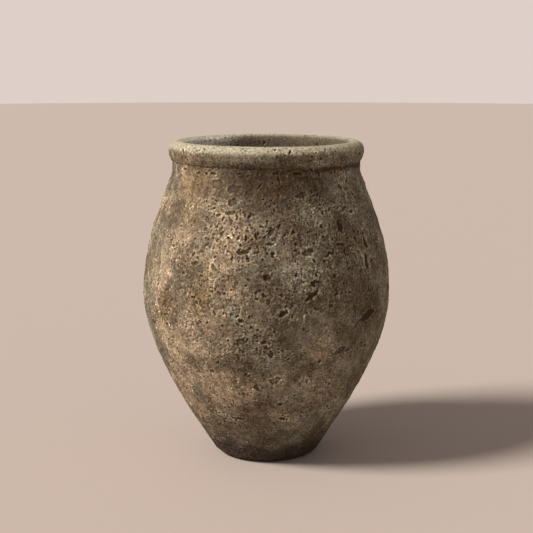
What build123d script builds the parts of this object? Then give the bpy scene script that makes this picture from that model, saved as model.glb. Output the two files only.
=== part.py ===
"""Large garden amphora: a footless oil jar with a rolled rim, built up in luted clay courses.

The jar stands on a flat base slab with a drain hole. Each wall course sits on the one below on a keyed
lute joint: a rounded ridge along the lower course's top edge fits a groove in the upper course's bottom
edge. A reinforcing coil fills the inside corner between the slab and the wall. The rim is a thick rolled
bead with a short upright throat inside it.

Units are millimetres. +Z is up, the jar's axis is Z, and the origin is the centre of the face it rests on.
"""

import os
from math import cos, radians, sin, tan

from build123d import *

# Driving dimensions
height = 490.0
belly_radius = 190.5
belly_height = 261.0
wall = 16.0

# Wall curve below the belly, from the belly down: two arcs, a cone, and the rounded foot edge
low_belly_bend, low_belly_turn = 235.0, 23.0
flare_bend, flare_turn = 750.0, 8.8
foot_edge_bend = 22.0

# Wall curve above the belly, from the belly up: two arcs and a straight shoulder
high_belly_bend, high_belly_turn = 290.0, 12.5
shoulder_bend, shoulder_turn = 420.0, 7.5

# Rolled rim
rim_radius = 149.5
crown_radius = 135.0
throat_radius = 121.0
rim_equator = height - 14.0
rim_skirt_bend, rim_skirt_turn = 32.0, 31.0
neck_bend, neck_depth = 16.0, 1.0
under_rim_gap = 1.0

# Base
floor_thickness = 20.0
drain_radius = 12.5
drain_edge = 2.0
corner_coil_bend = 25.0
corner_coil_toe = 1.5

# Keyed lute joints between courses
key_width = 8.0
key_height = 3.5

cone_lean = low_belly_turn + flare_turn
shoulder_lean = high_belly_turn + shoulder_turn
foot_edge_height = foot_edge_bend * (1 - sin(radians(cone_lean)))
rim_joint = rim_equator - rim_skirt_bend * sin(radians(rim_skirt_turn)) - under_rim_gap


def wall_curves(inset):
    """The four arcs of the jar's side, moved inwards by inset: belly and flare going down, belly and
    shoulder going up.

    Moving the curve inwards only changes the arcs' radii, so the wall's two faces stay parallel.
    """
    start = (belly_radius - inset, belly_height)
    low_belly = JernArc(start, (0, -1), low_belly_bend - inset, -low_belly_turn)
    flare = JernArc(low_belly @ 1, low_belly % 1, flare_bend - inset, -flare_turn)
    high_belly = JernArc(start, (0, 1), high_belly_bend - inset, high_belly_turn)
    shoulder = JernArc(high_belly @ 1, high_belly % 1, shoulder_bend - inset, shoulder_turn)
    return low_belly, flare, high_belly, shoulder


def line_to_height(point, lean, z):
    """The end, at height z, of a straight line from point that leans outwards by lean degrees going up."""
    return (point.X + (z - point.Y) * tan(radians(lean)), z)


def line_to_radius(point, lean, radius):
    """The end, at the given radius, of a straight line from point that leans inwards by lean degrees."""
    return (radius, point.Y + (point.X - radius) / tan(radians(lean)))


# The whole wall's cross-section, from the axis outwards
with BuildSketch(Plane.XZ) as jar_section:
    with BuildLine():
        # Outside: flat foot, rounded foot edge, cone, belly and shoulder
        low_belly, flare, high_belly, shoulder = wall_curves(0)
        cone = Line(flare @ 1, line_to_height(flare @ 1, cone_lean, foot_edge_height))
        foot_edge = JernArc(cone @ 1, cone % 1, foot_edge_bend, cone_lean - 90)
        Line(foot_edge @ 1, (0, 0))

        # Neck: the shoulder turns upright under the rim's skirt
        skirt = JernArc((rim_radius, rim_equator), (0, -1), rim_skirt_bend, -rim_skirt_turn)
        neck_top = (skirt @ 1) - Vector(neck_depth, 0)
        neck_arc_depth = neck_bend * (1 - cos(radians(shoulder_lean)))
        neck_start_radius = neck_top.X + neck_arc_depth
        shoulder_line = Line(shoulder @ 1, line_to_radius(shoulder @ 1, shoulder_lean, neck_start_radius))
        neck = JernArc(shoulder_line @ 1, shoulder_line % 1, neck_bend, -shoulder_lean)
        Line(neck @ 1, neck_top)
        Line(neck_top, skirt @ 1)

        # Rolled rim: over the crown and down the throat
        crown_centre, crown_rise = (crown_radius, rim_equator), height - rim_equator
        EllipticalCenterArc(crown_centre, rim_radius - crown_radius, crown_rise, 0)
        inner_roll = EllipticalCenterArc(crown_centre, crown_radius - throat_radius, crown_rise, 90)

        # Inside: shoulder, belly, cone and floor
        in_low_belly, in_flare, in_high_belly, in_shoulder = wall_curves(wall)
        throat_start = line_to_radius(in_shoulder @ 1, shoulder_lean, throat_radius + neck_arc_depth)
        in_shoulder_line = Line(in_shoulder @ 1, throat_start)
        throat_turn = JernArc(in_shoulder_line @ 1, in_shoulder_line % 1, neck_bend, -shoulder_lean)
        Line(throat_turn @ 1, inner_roll @ 1)
        in_cone = Line(in_flare @ 1, line_to_height(in_flare @ 1, cone_lean, floor_thickness))
        floor = Line(in_cone @ 1, (0, floor_thickness))
        Line(floor @ 1, (0, 0))
    make_face()

in_corner = in_cone @ 1


def wall_middle(z):
    """The radius half way through the wall at height z, where the lute key runs."""
    probe = Line((0, z), (belly_radius + wall, z), mode=Mode.PRIVATE)
    cut = (probe & jar_section.sketch_local).edges().sort_by(Axis.X)[-1]
    return (cut @ 0.5).X


def joint_edge(z, keyed):
    """Draws a joint across the wall at height z, from the axis outwards, and returns its outer end."""
    outer_end = (belly_radius + wall, z)
    if not keyed:
        Line((0, z), outer_end)
        return outer_end
    middle = wall_middle(z)
    key_start, key_end = (middle - key_width / 2, z), (middle + key_width / 2, z)
    Line((0, z), key_start)
    ThreePointArc(key_start, (middle, z + key_height), key_end)
    Line(key_end, outer_end)
    return outer_end


def make_course(label, low, high, low_keyed=True, high_keyed=True):
    """One ring of wall between two joints, revolved and written to its own file."""
    with BuildPart() as course:
        with BuildSketch(Plane.XZ):
            with BuildLine():
                low_end = joint_edge(low, low_keyed)
                high_end = joint_edge(high, high_keyed)
                Line(low_end, high_end)
                Line((0, low), (0, high))
            make_face()
            add(jar_section.sketch_local, mode=Mode.INTERSECT)
        revolve(axis=Axis.Z)
    course.part.label = label
    export_step(course.part, f"parts/{label}.step")
    return course.part


os.makedirs("parts", exist_ok=True)

# Base slab: the whole disc up to the floor, with the drain hole's edges eased
with BuildPart() as base_slab:
    with BuildSketch(Plane.XZ):
        with BuildLine():
            Polyline(
                (0, 0),
                (belly_radius, 0),
                (belly_radius, floor_thickness),
                (0, floor_thickness),
                close=True,
            )
        make_face()
        add(jar_section.sketch_local, mode=Mode.INTERSECT)
    revolve(axis=Axis.Z)
    Hole(radius=drain_radius)
    drain_edges = base_slab.edges().filter_by(
        lambda edge: edge.geom_type == GeomType.CIRCLE and abs(edge.radius - drain_radius) < 0.01
    )
    fillet(drain_edges, radius=drain_edge)
base_slab.part.label = "base_slab"
export_step(base_slab.part, "parts/base_slab.step")

# Reinforcing coil in the inside corner, with a concave face and blunt toes
with BuildPart() as corner_coil:
    with BuildSketch(Plane.XZ):
        with BuildLine():
            corner_angle = radians(90 - cone_lean)
            reach = corner_coil_bend * tan(corner_angle / 2)
            up_wall = Vector(sin(radians(cone_lean)), cos(radians(cone_lean)))
            into_jar = Vector(-cos(radians(cone_lean)), sin(radians(cone_lean)))
            floor_toe = Vector(in_corner.X - reach, floor_thickness)
            wall_toe = Vector(in_corner.X, in_corner.Y) + up_wall * reach
            floor_toe_top = floor_toe + Vector(0, corner_coil_toe)
            wall_toe_top = wall_toe + into_jar * corner_coil_toe
            Polyline(floor_toe_top, floor_toe, (in_corner.X, in_corner.Y), wall_toe, wall_toe_top)
            RadiusArc(floor_toe_top, wall_toe_top, -corner_coil_bend)
        make_face()
    revolve(axis=Axis.Z)
corner_coil.part.label = "corner_coil"
export_step(corner_coil.part, "parts/corner_coil.step")

# Wall courses of equal height, from the slab to the neck, and the rolled rim
course_names = [
    "foot_course",
    "lower_course",
    "lower_belly_course",
    "upper_belly_course",
    "shoulder_course",
    "neck_course",
]
course_height = (rim_joint - floor_thickness) / len(course_names)
for number, name in enumerate(course_names):
    low = floor_thickness + number * course_height
    make_course(name, low, low + course_height, low_keyed=number > 0)
make_course("rim_roll", rim_joint, height + 1, high_keyed=False)

print("foot flat radius", round((foot_edge @ 1).X, 2), "throat bottom", round((throat_turn @ 1).Y, 2))
print("neck radius", round(neck_top.X, 2), "neck foot", round((neck @ 1).Y, 2))
print("rim joint", round(rim_joint, 2), "inner corner radius", round(in_corner.X, 2))
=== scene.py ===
"""Looks of a large garden amphora: a footless oil jar with a rolled rim and a cratered clay crust.

The jar is built as a potter builds it: a base slab, a coil in the inside corner, six wall courses and a
rolled rim. One closed line, the skin, goes round the whole wall's cross-section. Each piece is a stretch of
that skin closed with its joint faces and spun round the jar's axis, and the crust then moves its skin in and
out. Every piece reads the same crust, so the courses meet without a step.
"""

import logging
import math
from dataclasses import dataclass, field
from enum import Enum

import bmesh
import bpy
import numpy as np
from mathutils import Matrix, Vector


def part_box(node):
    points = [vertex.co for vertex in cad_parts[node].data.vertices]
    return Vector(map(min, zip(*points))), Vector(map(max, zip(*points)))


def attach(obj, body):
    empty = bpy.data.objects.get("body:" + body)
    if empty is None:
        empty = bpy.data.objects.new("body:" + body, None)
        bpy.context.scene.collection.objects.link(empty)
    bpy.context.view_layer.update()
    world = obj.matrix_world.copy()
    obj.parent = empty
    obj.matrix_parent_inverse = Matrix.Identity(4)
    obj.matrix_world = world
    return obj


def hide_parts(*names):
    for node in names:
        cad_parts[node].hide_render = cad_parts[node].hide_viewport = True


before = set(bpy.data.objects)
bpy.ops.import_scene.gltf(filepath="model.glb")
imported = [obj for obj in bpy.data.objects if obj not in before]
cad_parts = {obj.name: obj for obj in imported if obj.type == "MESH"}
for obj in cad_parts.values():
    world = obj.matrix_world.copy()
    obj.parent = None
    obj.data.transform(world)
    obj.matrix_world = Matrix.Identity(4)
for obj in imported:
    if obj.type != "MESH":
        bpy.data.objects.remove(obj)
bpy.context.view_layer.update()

LOG = logging.getLogger("amphora")
MM = 0.001


# ---------------------------------------------------------------------------------------------------------
# The jar's cross-section
# ---------------------------------------------------------------------------------------------------------


@dataclass(frozen=True)
class Bend:
    """A stretch of wall that curves: its radius in metres and how far it turns in degrees."""

    radius: float
    turn: float


@dataclass(frozen=True)
class JarShape:
    """Driving sizes of the jar's wall, in metres."""

    height: float = 0.490
    belly_radius: float = 0.1905
    belly_height: float = 0.261
    wall: float = 0.016
    low_belly: Bend = Bend(0.235, 23.0)
    flare: Bend = Bend(0.750, 8.8)
    foot_edge_bend: float = 0.022
    high_belly: Bend = Bend(0.290, 12.5)
    shoulder: Bend = Bend(0.420, 7.5)
    neck_bend: float = 0.016
    neck_depth: float = 0.001
    rim_skirt: Bend = Bend(0.032, 31.0)
    rim_radius: float = 0.1495
    crown_radius: float = 0.135
    throat_radius: float = 0.121
    crown_rise: float = 0.014
    floor: float = 0.020
    drain_radius: float = 0.0125
    drain_edge: float = 0.002
    key_width: float = 0.008
    key_height: float = 0.0035

    @property
    def cone_lean(self) -> float:
        """Lean of the cone above the foot, in degrees from upright."""
        return self.low_belly.turn + self.flare.turn

    @property
    def shoulder_lean(self) -> float:
        """Lean of the straight shoulder, in degrees from upright."""
        return self.high_belly.turn + self.shoulder.turn

    @property
    def rim_equator(self) -> float:
        """Height of the rim's widest point."""
        return self.height - self.crown_rise


class Pen:
    """Draws a line in the plane of radius and height, as points close together."""

    STEP = 0.25 * MM

    def __init__(self, radius: float, height: float, heading: float) -> None:
        """Puts the pen down.

        Args:
            radius: Start's distance from the jar's axis, in metres.
            height: Start's height, in metres.
            heading: Direction in degrees, anticlockwise from straight outwards.
        """
        self.points = [(radius, height)]
        self.heading = heading

    @property
    def at(self) -> tuple[float, float]:
        """Where the pen is."""
        return self.points[-1]

    def run(self, length: float) -> "Pen":
        """Draws a straight line.

        Args:
            length: How long it is, in metres.

        Returns:
            The pen itself.
        """
        radius, height = self.at
        way = math.radians(self.heading)
        for part in np.linspace(0, length, max(2, round(length / self.STEP)))[1:]:
            self.points.append((radius + part * math.cos(way), height + part * math.sin(way)))
        return self

    def run_to_height(self, height: float) -> "Pen":
        """Draws a straight line until it reaches this height."""
        return self.run((height - self.at[1]) / math.sin(math.radians(self.heading)))

    def run_to_radius(self, radius: float) -> "Pen":
        """Draws a straight line until it reaches this distance from the axis."""
        return self.run((radius - self.at[0]) / math.cos(math.radians(self.heading)))

    def bend(self, radius: float, turn: float) -> "Pen":
        """Draws an arc that is tangent to the line so far.

        Args:
            radius: The arc's radius, in metres.
            turn: How far it turns in degrees, anticlockwise if positive.

        Returns:
            The pen itself.
        """
        side = math.copysign(1.0, turn)
        way = math.radians(self.heading)
        centre = (self.at[0] - side * radius * math.sin(way), self.at[1] + side * radius * math.cos(way))
        steps = max(8, round(abs(math.radians(turn)) * radius / self.STEP))
        for part in np.linspace(0, math.radians(turn), steps)[1:]:
            self.points.append(
                (
                    centre[0] + side * radius * math.sin(way + part),
                    centre[1] - side * radius * math.cos(way + part),
                )
            )
        self.heading += turn
        return self


def quarter_roll(centre: tuple[float, float], width: float, rise: float, start: float) -> list:
    """Draws a quarter of an ellipse, which makes one half of the rolled rim.

    Args:
        centre: The ellipse's centre, as radius and height.
        width: Its half width.
        rise: Its half height.
        start: Where the quarter starts, in degrees anticlockwise from straight outwards.

    Returns:
        The points.
    """
    turns = np.radians(np.linspace(start, start + 90, 90))
    return [(centre[0] + width * math.cos(t), centre[1] + rise * math.sin(t)) for t in turns]


class Wall(Enum):
    """The two sides of the jar's wall."""

    OUTER = "outer"
    INNER = "inner"


class Skin:
    """The closed line round the wall's cross-section, anticlockwise from the top of the drain hole: down the
    hole, out along the foot, up the outside, over the rim, down the inside and back along the floor."""

    FEELER = 0.6 * MM

    def __init__(self, shape: JarShape) -> None:
        """Draws the line.

        Args:
            shape: The jar's sizes.
        """
        self.shape = shape
        line = np.array(self._under_and_foot() + self._belly_to_rim() + self._rim_to_floor())
        gaps = np.hypot(*np.diff(line, axis=0).T)
        self.line = line[np.concatenate([[True], gaps > 1e-7])]
        self.arc = np.concatenate([[0], np.cumsum(np.hypot(*np.diff(self.line, axis=0).T))])
        self.length = float(self.arc[-1])
        self.crown_arc = float(self.arc[np.argmax(self.line[:, 1])])
        from_corner = np.hypot(*(self.line - np.array(self.corner)).T)
        self.corner_arc = float(self.arc[np.argmin(from_corner)])

    def _side_down(self, inset: float) -> Pen:
        """Draws the side from the belly down into the cone.

        Args:
            inset: How far the side is moved inwards, in metres.

        Returns:
            The pen, where the straight cone starts.
        """
        shape = self.shape
        pen = Pen(shape.belly_radius - inset, shape.belly_height, -90)
        pen.bend(shape.low_belly.radius - inset, -shape.low_belly.turn)
        return pen.bend(shape.flare.radius - inset, -shape.flare.turn)

    def _side_up(self, inset: float) -> Pen:
        """Draws the side from the belly up into the shoulder.

        Args:
            inset: How far the side is moved inwards, in metres.

        Returns:
            The pen, where the straight shoulder starts.
        """
        shape = self.shape
        pen = Pen(shape.belly_radius - inset, shape.belly_height, 90)
        pen.bend(shape.high_belly.radius - inset, shape.high_belly.turn)
        return pen.bend(shape.shoulder.radius - inset, shape.shoulder.turn)

    def _turn_upright(self, pen: Pen, radius: float) -> Pen:
        """Runs up the straight shoulder and turns upright.

        Args:
            pen: The pen, where the straight shoulder starts.
            radius: Where the turn ends, as distance from the axis in metres.

        Returns:
            The pen, heading straight up.
        """
        shape = self.shape
        depth = shape.neck_bend * (1 - math.cos(math.radians(shape.shoulder_lean)))
        return pen.run_to_radius(radius + depth).bend(shape.neck_bend, -shape.shoulder_lean)

    def _under_and_foot(self) -> list:
        """Draws the drain hole, the flat foot, its rounded edge, the cone and the lower belly.

        Returns:
            The points, from the top of the hole.
        """
        shape = self.shape
        pen = self._side_down(0)
        edge_height = shape.foot_edge_bend * (1 - math.sin(math.radians(shape.cone_lean)))
        pen.run_to_height(edge_height).bend(shape.foot_edge_bend, shape.cone_lean - 90)
        pen.run_to_radius(shape.drain_radius + shape.drain_edge).bend(shape.drain_edge, -90)
        pen.run_to_height(shape.floor - shape.drain_edge)
        return pen.points[::-1]

    def _belly_to_rim(self) -> list:
        """Draws the upper belly, the shoulder, the neck and the outer half of the rim.

        Returns:
            The points, from the belly up.
        """
        shape = self.shape
        skirt_top = (shape.rim_radius, shape.rim_equator)
        skirt = Pen(*skirt_top, -90).bend(shape.rim_skirt.radius, -shape.rim_skirt.turn)
        pen = self._turn_upright(self._side_up(0), skirt.at[0] - shape.neck_depth)
        pen.run_to_height(skirt.at[1])
        crown = (shape.crown_radius, shape.rim_equator)
        roll = quarter_roll(crown, shape.rim_radius - shape.crown_radius, shape.crown_rise, 0)
        return pen.points + skirt.points[::-1] + roll

    def _rim_to_floor(self) -> list:
        """Draws the inner half of the rim, the throat, the inside of the wall and the floor, and notes where
        the inside corner is.

        Returns:
            The points, from the crown down.
        """
        shape = self.shape
        crown = (shape.crown_radius, shape.rim_equator)
        roll = quarter_roll(crown, shape.crown_radius - shape.throat_radius, shape.crown_rise, 90)
        up = self._turn_upright(self._side_up(shape.wall), shape.throat_radius)
        up.run_to_height(shape.rim_equator)
        down = self._side_down(shape.wall).run_to_height(shape.floor)
        self.corner = down.at
        down.heading = 180
        down.run_to_radius(shape.drain_radius + shape.drain_edge).bend(shape.drain_edge, 90)
        return roll + up.points[::-1] + down.points

    def point(self, arc: np.ndarray) -> np.ndarray:
        """Gives the skin's radius and height at these distances along it."""
        return np.stack([np.interp(arc, self.arc, self.line[:, k]) for k in (0, 1)], axis=-1)

    def normal(self, arc: np.ndarray) -> np.ndarray:
        """Gives the direction out of the clay.

        Args:
            arc: Distances along the skin.

        Returns:
            The directions, as radius and height.
        """
        ahead = self.point(np.minimum(arc + self.FEELER, self.length))
        way = ahead - self.point(np.maximum(arc - self.FEELER, 0))
        out = np.stack([way[..., 1], -way[..., 0]], axis=-1)
        return out / np.maximum(np.linalg.norm(out, axis=-1, keepdims=True), 1e-12)

    def at_height(self, height: float, wall: Wall) -> float:
        """Gives the distance along the skin of a height on one side of the wall.

        Args:
            height: The height, in metres, between the floor and the rim's widest point.
            wall: Which side of the wall.

        Returns:
            The distance along the skin from its start.
        """
        if wall is Wall.OUTER:
            part = (self.arc < self.crown_arc) & (self.line[:, 0] > self.shape.foot_edge_bend)
            return float(np.interp(height, self.line[part, 1], self.arc[part]))
        part = (self.arc > self.crown_arc) & (self.arc <= self.corner_arc)
        return float(np.interp(height, self.line[part, 1][::-1], self.arc[part][::-1]))


# ---------------------------------------------------------------------------------------------------------
# The cratered crust
# ---------------------------------------------------------------------------------------------------------


class GrainNoise:
    """Smooth noise in space, about -1 to 1, the same every time for one seed."""

    SIZE = 256
    FULL_RANGE = 1.6
    FINER = 2.03
    LAYER_SHIFT = 17.3

    def __init__(self, seed: int) -> None:
        """Shuffles the grid of slopes.

        Args:
            seed: Fixes the noise.
        """
        random = np.random.default_rng(seed)
        self.order = random.permutation(self.SIZE).astype(np.int32)
        slopes = random.normal(size=(self.SIZE, 3)).astype(np.float32)
        self.slopes = slopes / np.linalg.norm(slopes, axis=1, keepdims=True)

    def _corner(self, cell: list, offset: list, corner: tuple[int, int, int]) -> np.ndarray:
        """Works out what one corner of each cell adds.

        Args:
            cell: Each point's cell, as three arrays.
            offset: Where in its cell each point is, as three arrays.
            corner: Which corner, as 0 or 1 along each axis.

        Returns:
            The corner's slope at each point.
        """
        wrap = self.SIZE - 1
        pick = self.order[(cell[0] + corner[0]) & wrap]
        pick = self.order[(pick + cell[1] + corner[1]) & wrap]
        pick = self.order[(pick + cell[2] + corner[2]) & wrap]
        slope = self.slopes[pick]
        return sum(slope[..., k] * (offset[k] - corner[k]) for k in range(3))

    def at(self, points: np.ndarray) -> np.ndarray:
        """Gives the noise at these points.

        Args:
            points: Where, in cells.

        Returns:
            The noise, about -1 to 1.
        """
        floor = np.floor(points)
        cell = [floor[..., k].astype(np.int32) for k in range(3)]
        offset = [(points[..., k] - floor[..., k]).astype(np.float32) for k in range(3)]
        ease = [t * t * t * (t * (t * 6 - 15) + 10) for t in offset]
        total = np.zeros(points.shape[:-1], np.float32)
        for corner in np.ndindex(2, 2, 2):
            weight = np.float32(1)
            for k in range(3):
                weight = weight * (ease[k] if corner[k] else 1 - ease[k])
            total += weight * self._corner(cell, offset, corner)
        return total * self.FULL_RANGE

    def layered(self, points: np.ndarray, size: float, layers: int, fade: float = 0.5) -> np.ndarray:
        """Adds up layers of noise, each half the size of the one before.

        Args:
            points: Where, in metres.
            size: The first layer's cell, in metres.
            layers: How many layers.
            fade: How strong each layer is beside the one before.

        Returns:
            The noise, about -1 to 1.
        """
        total, weight, scale = 0.0, 1.0, 1.0 / size
        for number in range(layers):
            shift = np.float32(self.LAYER_SHIFT * number)
            total = total + weight * self.at(points * np.float32(scale) + shift)
            weight *= fade
            scale *= self.FINER
        return total / sum(fade**k for k in range(layers))


def smooth_step(low: float, high: float, value: np.ndarray) -> np.ndarray:
    """Goes from 0 at low to 1 at high with no corners."""
    t = np.clip((value - low) / (high - low), 0, 1)
    return t * t * (3 - 2 * t)


@dataclass(frozen=True)
class PitKind:
    """One kind of hollow in the crust.

    Sizes are in metres, and the tilt is in degrees either way of level. The radius and the depth go from the
    smallest to the largest, and the longest is a pit's length beside its width.
    """

    count: int
    radius: tuple[float, float]
    depth: tuple[float, float]
    lip: float
    longest: float
    wall_share: float
    heights: tuple[float, float] = (0.0, 1.0)
    tilt: float = 90.0
    only_rough: bool = True


@dataclass(frozen=True)
class Sponge:
    """Ragged holes of burst bubbles, close together. Sizes are in metres, and the shift makes two differ."""

    apart: float
    depth: float
    lip: float
    shift: float


@dataclass(frozen=True)
class Swell:
    """Gentle unevenness: how far apart its bumps are and how high they stand, in metres."""

    apart: float
    layers: int
    height: float
    fade: float = 0.5
    shift: float = 0.0

    def over(self, noise: GrainNoise, points: np.ndarray) -> np.ndarray:
        """Gives the height that it adds at these points."""
        return noise.layered(points + self.shift, self.apart, self.layers, self.fade) * self.height


@dataclass(frozen=True)
class Ridges:
    """Thin ridges, which run where a noise crosses zero. Sizes are in metres."""

    apart: float
    layers: int
    height: float
    fade: float
    thinness: float
    shift: float = 0.0
    peak: float = 1.0

    def over(self, noise: GrainNoise, points: np.ndarray) -> np.ndarray:
        """Gives the height that they add at these points."""
        folds = np.abs(noise.layered(points + self.shift, self.apart, self.layers, self.fade))
        return np.clip(1 - folds * self.thinness, 0, 1) ** self.peak * self.height


@dataclass(frozen=True)
class Scar:
    """One large hollow at its own place on the jar's face.

    Azimuth is in degrees from the front, to the right. The tilt is in degrees from level, up to the right.
    A bald scar is a shallow one with a smooth floor, where the crust has flaked off.
    """

    azimuth: float
    height: float
    radius: float
    stretch: float
    tilt: float
    depth: float
    bald: bool = False


@dataclass(frozen=True)
class Zone:
    """A round area of the jar's face, by its place round the axis and its height.

    Azimuth is in degrees from the front, to the right. The reach is in metres, and a strength is what the
    zone adds at its middle.
    """

    azimuth: float
    height: float
    reach: float
    strength: float

    def centre(self, skin: Skin) -> Vector:
        """Finds the zone's middle.

        Args:
            skin: The jar's skin.

        Returns:
            The place on the jar's outside, in metres.
        """
        radius = skin.point(np.array(skin.at_height(self.height, Wall.OUTER)))[0]
        turn = math.radians(self.azimuth)
        return Vector((radius * math.sin(turn), -radius * math.cos(turn), self.height))


class Crust:
    """How far the skin stands in or out of its line, on a grid of distance along the skin and angle.

    Pits of each kind lie at random, and scars at their own places. Sponges are burst bubbles. What stands
    proud is lumps, knobs, scabs, seams, wrinkles, grain and the pits' lips. Zones are rougher or smoother
    areas of the face. The whole crust is then settled a little into the wall.
    """

    # Pits at random, from the smallest kind
    PORE = PitKind(11500, (0.9 * MM, 1.4 * MM), (0.8 * MM, 1.3 * MM), 0.25 * MM, 2.4, 0.9)
    CRATER = PitKind(1700, (1.4 * MM, 2.8 * MM), (1.2 * MM, 2.0 * MM), 0.50 * MM, 2.4, 0.6)
    GOUGE = PitKind(90, (1.7 * MM, 2.8 * MM), (1.2 * MM, 1.8 * MM), 0.60 * MM, 4.5, 0.45)
    SPALL = PitKind(120, (3.0 * MM, 6.0 * MM), (0.7 * MM, 1.0 * MM), 0.55 * MM, 1.9, 0.15)
    NECK_SLOT = PitKind(115, (1.8 * MM, 2.6 * MM), (1.5 * MM, 2.2 * MM), 0.60 * MM, 4.5, 0.6,
                        (0.4475, 0.4530), 10.0, False)
    RIM_SLOT = PitKind(80, (1.5 * MM, 2.0 * MM), (1.3 * MM, 1.8 * MM), 0.30 * MM, 5.0, 0.6,
                       (0.4570, 0.4600), 6.0, False)

    # Large hollows, from the shoulder down, and then the bald patches below the rim
    SCAR_SCALE = 1.18
    SCARS = (
        Scar(2, 0.372, 3.6 * MM, 1.4, 75, 2.3 * MM),
        Scar(13, 0.371, 2.8 * MM, 1.2, 90, 1.8 * MM),
        Scar(28, 0.377, 2.3 * MM, 1.6, 80, 1.8 * MM),
        Scar(39, 0.374, 4.6 * MM, 1.9, 100, 2.4 * MM),
        Scar(0, 0.308, 4.2 * MM, 1.4, -15, 2.4 * MM),
        Scar(21, 0.300, 3.8 * MM, 1.5, 80, 2.4 * MM),
        Scar(20, 0.282, 3.3 * MM, 3.2, 32, 2.2 * MM),
        Scar(7, 0.258, 4.2 * MM, 1.5, 20, 2.5 * MM),
        Scar(-11, 0.246, 3.2 * MM, 1.3, 0, 2.2 * MM),
        Scar(52, 0.241, 6.6 * MM, 2.4, 22, 2.4 * MM),
        Scar(53, 0.320, 4.4 * MM, 2.8, 92, 2.3 * MM),
        Scar(55, 0.348, 3.8 * MM, 2.6, 98, 2.1 * MM),
        Scar(-11, 0.344, 3.4 * MM, 2.4, 5, 2.3 * MM),
        Scar(-34, 0.325, 2.8 * MM, 2.0, 10, 2.0 * MM),
        Scar(-1, 0.215, 2.8 * MM, 1.6, 10, 2.0 * MM),
        Scar(8, 0.112, 2.8 * MM, 1.5, 10, 1.9 * MM),
        Scar(-19, 0.084, 2.8 * MM, 3.0, 5, 1.9 * MM),
        Scar(11, 0.085, 3.0 * MM, 2.2, -15, 1.9 * MM),
        Scar(-18, 0.397, 2.8 * MM, 3.2, 4, 0.9 * MM, True),
        Scar(-18, 0.430, 5.0 * MM, 1.9, 0, 1.0 * MM, True),
        Scar(-29, 0.435, 5.0 * MM, 2.0, -10, 0.8 * MM, True),
        Scar(-18, 0.411, 5.0 * MM, 1.2, 30, 1.0 * MM, True),
    )

    # Burst bubbles
    SPONGES = (
        Sponge(6.6 * MM, 2.0 * MM, 0.50 * MM, 21.0),
        Sponge(3.9 * MM, 1.4 * MM, 0.35 * MM, 33.0),
    )

    # What stands proud
    LUMPS = Swell(95 * MM, 2, 1.3 * MM)
    KNOBS = Swell(15 * MM, 3, 0.8 * MM, shift=5.0)
    GRAIN = Swell(2.9 * MM, 2, 0.36 * MM, fade=0.8, shift=2.0)
    SCABS = Swell(19 * MM, 4, 1.0, fade=0.6, shift=12.0)
    SCAB_HEIGHT = 0.65 * MM
    SEAMS = Ridges(30 * MM, 4, 1.0 * MM, fade=0.6, thinness=22.0, shift=9.0)
    SEAM_AREAS = Swell(26 * MM, 3, 1.0, shift=6.0)
    WRINKLES = Ridges(8 * MM, 3, 0.45 * MM, fade=0.7, thinness=4.0, peak=1.5)
    WARP_SIZE, WARP = 9 * MM, 2.2 * MM
    FINGER_RINGS, RING_HEIGHT = 21 * MM, 0.35 * MM

    # How the parts of the crust are put together
    FULL_RELIEF, FULL_PIT = 0.50 * MM, 1.0 * MM
    SETTLE = 0.4 * MM
    FOOT_END = 75 * MM
    CROWN_WIDTH, CROWN_LOSS = 18 * MM, 0.58
    UNDER_WIDTH, UNDER_LOSS = 60 * MM, 0.50
    INSIDE_LOSS, DEEP_SHARE = 0.10, 0.12
    DEEP_FROM, DEEP_FULL = 60 * MM, 110 * MM
    FLAKED_LOSS = 0.85
    EDGE_WOBBLE = 0.75
    PIT_REACH = 1.9
    ROW = 1.1 * MM

    # Rougher and smoother areas
    ZONES = (
        Zone(-16, 0.352, 0.045, 0.22),
        Zone(-22, 0.378, 0.040, 0.18),
        Zone(-34, 0.322, 0.035, 0.22),
        Zone(-34, 0.268, 0.040, 0.15),
        Zone(-2, 0.366, 0.035, 0.32),
        Zone(5, 0.288, 0.035, 0.32),
        Zone(-1, 0.215, 0.030, 0.28),
        Zone(21, 0.155, 0.035, 0.15),
        Zone(43, 0.335, 0.040, 0.30),
        Zone(20, 0.290, 0.030, 0.20),
        Zone(9, 0.328, 0.026, -0.40),
        Zone(22, 0.225, 0.040, -0.30),
        Zone(-3, 0.245, 0.022, -0.30),
        Zone(-22, 0.325, 0.016, -0.25),
        Zone(-52, 0.327, 0.040, -0.25),
        Zone(-45, 0.415, 0.050, -0.15),
        Zone(50, 0.195, 0.060, -0.20),
        Zone(-27, 0.175, 0.040, -0.10),
    )

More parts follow.
